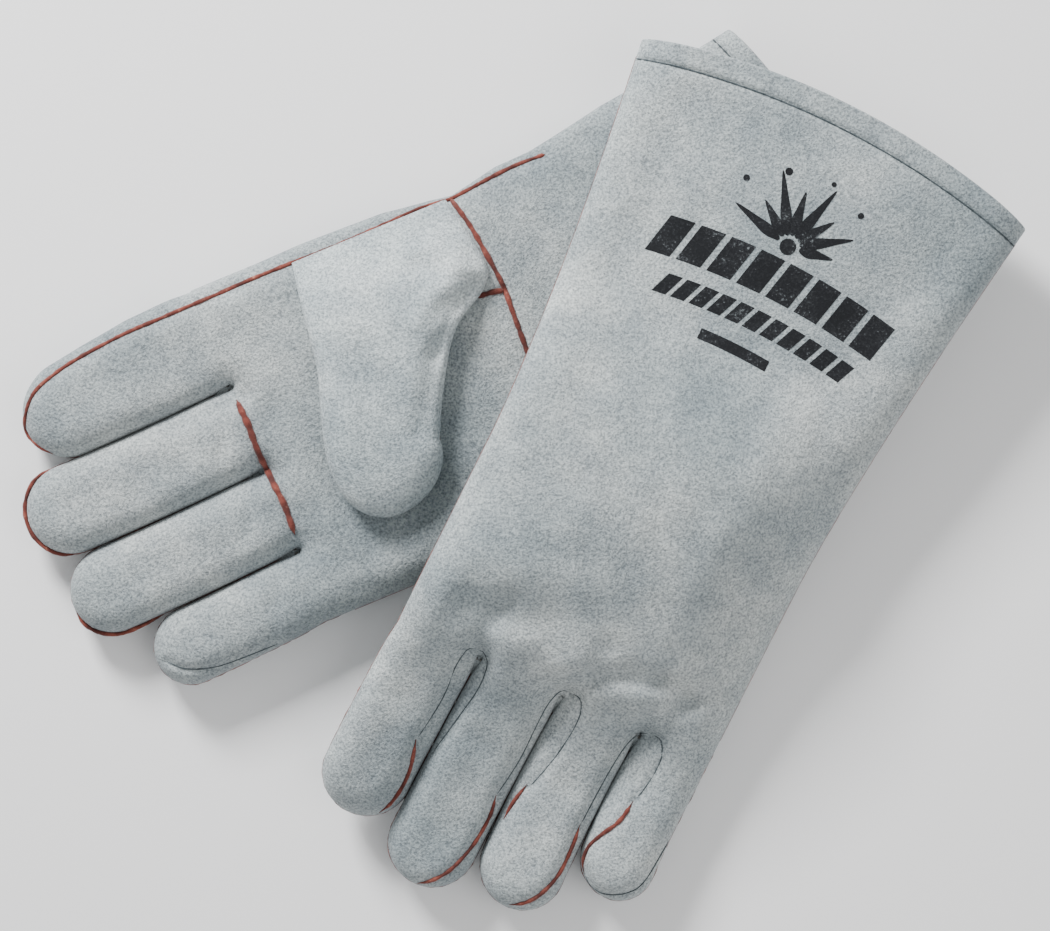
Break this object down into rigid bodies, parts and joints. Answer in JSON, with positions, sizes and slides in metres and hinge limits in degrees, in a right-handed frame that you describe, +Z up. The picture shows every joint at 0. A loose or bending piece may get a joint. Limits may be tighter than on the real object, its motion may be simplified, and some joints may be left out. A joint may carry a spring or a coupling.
{
  "type": "pair of welding gloves",
  "caption": "Pair of grey split-leather gauntlet welding gloves with red welted seams, laid one across the other, one back up and one palm up with its thumb folded over.",
  "frame": {"origin": "middle of the pair's bounding box, on the surface it lies on", "axes": "+Z up off the surface; +X is the longest side of the laid-out pair, from the lower glove's fingertips towards the cuffs; +Y is from the upper glove's fingertips towards its cuff"},
  "size_m": [0.3768, 0.3306, 0.0569],
  "materials": {
    "leather": "grey split suede, matt, with a short nap",
    "welt": "brick-red leather, matt",
    "fleece": "off-white cotton fleece",
    "canvas": "off-white cotton canvas"
  },
  "bodies": {
    "right_hand": {"right_back_panel": "leather", "right_palm_panel": "leather", "right_cuff_palm_panel": "leather", "right_wrist_welt": "welt", "right_finger_base_welt": "welt", "right_thumb_side_welt": "welt", "right_little_side_welt": "welt", "right_hand_lining": "fleece", "right_cuff_lining": "canvas", "right_cuff_hem": "leather"},
    "right_index": {"right_index_back": "leather", "right_index_front": "leather", "right_index_welt": "welt", "right_index_lining": "fleece"},
    "right_middle": {"right_middle_back": "leather", "right_middle_front": "leather", "right_middle_welt": "welt", "right_middle_lining": "fleece"},
    "right_ring": {"right_ring_back": "leather", "right_ring_front": "leather", "right_ring_welt": "welt", "right_ring_lining": "fleece"},
    "right_little": {"right_little_back": "leather", "right_little_front": "leather", "right_little_welt": "welt", "right_little_lining": "fleece"},
    "right_thumb": {"right_thumb_back": "leather", "right_thumb_front": "leather", "right_thumb_welt": "welt", "right_thumb_lining": "fleece"},
    "left_hand": {"left_back_panel": "leather", "left_palm_panel": "leather", "left_cuff_palm_panel": "leather", "left_wrist_welt": "welt", "left_finger_base_welt": "welt", "left_thumb_side_welt": "welt", "left_little_side_welt": "welt", "left_hand_lining": "fleece", "left_cuff_lining": "canvas", "left_cuff_hem": "leather"},
    "left_index": {"left_index_back": "leather", "left_index_front": "leather", "left_index_welt": "welt", "left_index_lining": "fleece"},
    "left_middle": {"left_middle_back": "leather", "left_middle_front": "leather", "left_middle_welt": "welt", "left_middle_lining": "fleece"},
    "left_ring": {"left_ring_back": "leather", "left_ring_front": "leather", "left_ring_welt": "welt", "left_ring_lining": "fleece"},
    "left_little": {"left_little_back": "leather", "left_little_front": "leather", "left_little_welt": "welt", "left_little_lining": "fleece"},
    "left_thumb": {"left_thumb_back": "leather", "left_thumb_front": "leather", "left_thumb_welt": "welt", "left_thumb_lining": "fleece"}
  },
  "joints": [
    {"name": "right_index_knuckle", "type": "hinge", "parent": "right_hand", "child": "right_index", "pos_m": [-0.11555, 0.04795, 0.0216], "axis": [-0.3827, 0.9239, 0], "range_deg": [0, 70]},
    {"name": "right_middle_knuckle", "type": "hinge", "parent": "right_hand", "child": "right_middle", "pos_m": [-0.1026, 0.01668, 0.0216], "axis": [-0.3827, 0.9239, 0], "range_deg": [0, 70]},
    {"name": "right_ring_knuckle", "type": "hinge", "parent": "right_hand", "child": "right_ring", "pos_m": [-0.08993, -0.0139, 0.0216], "axis": [-0.3827, 0.9239, 0], "range_deg": [0, 70]},
    {"name": "right_little_knuckle", "type": "hinge", "parent": "right_hand", "child": "right_little", "pos_m": [-0.07803, -0.04264, 0.0216], "axis": [-0.3827, 0.9239, 0], "range_deg": [0, 70]},
    {"name": "right_thumb_root", "type": "hinge", "parent": "right_hand", "child": "right_thumb", "pos_m": [-0.05572, 0.08382, 0.0222], "axis": [-0.9239, -0.3827, 0], "range_deg": [0, 85]},
    {"name": "left_hand_lift", "type": "slide", "parent": "right_hand", "child": "left_hand", "axis": [0, 0, 1], "range_m": [0, 0.15]},
    {"name": "left_index_knuckle", "type": "hinge", "parent": "left_hand", "child": "left_index", "pos_m": [-0.02999, -0.06093, 0.04684], "axis": [-0.8949, 0.4462, 0], "range_deg": [0, 35]},
    {"name": "left_middle_knuckle", "type": "hinge", "parent": "left_hand", "child": "left_middle", "pos_m": [0.00031, -0.07604, 0.03896], "axis": [-0.8949, 0.4462, 0], "range_deg": [0, 35]},
    {"name": "left_ring_knuckle", "type": "hinge", "parent": "left_hand", "child": "left_ring", "pos_m": [0.02993, -0.0908, 0.03113], "axis": [-0.8949, 0.4462, 0], "range_deg": [0, 35]},
    {"name": "left_little_knuckle", "type": "hinge", "parent": "left_hand", "child": "left_little", "pos_m": [0.05776, -0.10468, 0.02355], "axis": [-0.8949, 0.4462, 0], "range_deg": [0, 35]},
    {"name": "left_thumb_root", "type": "hinge", "parent": "left_hand", "child": "left_thumb", "pos_m": [-0.00837, 0.00539, 0.0342], "axis": [0.4462, 0.8949, 0], "range_deg": [0, 52]}
  ],
  "couplings": [
    {"joint": "left_thumb_root", "follows": "left_hand_lift", "rad_per_m": 6}
  ]
}
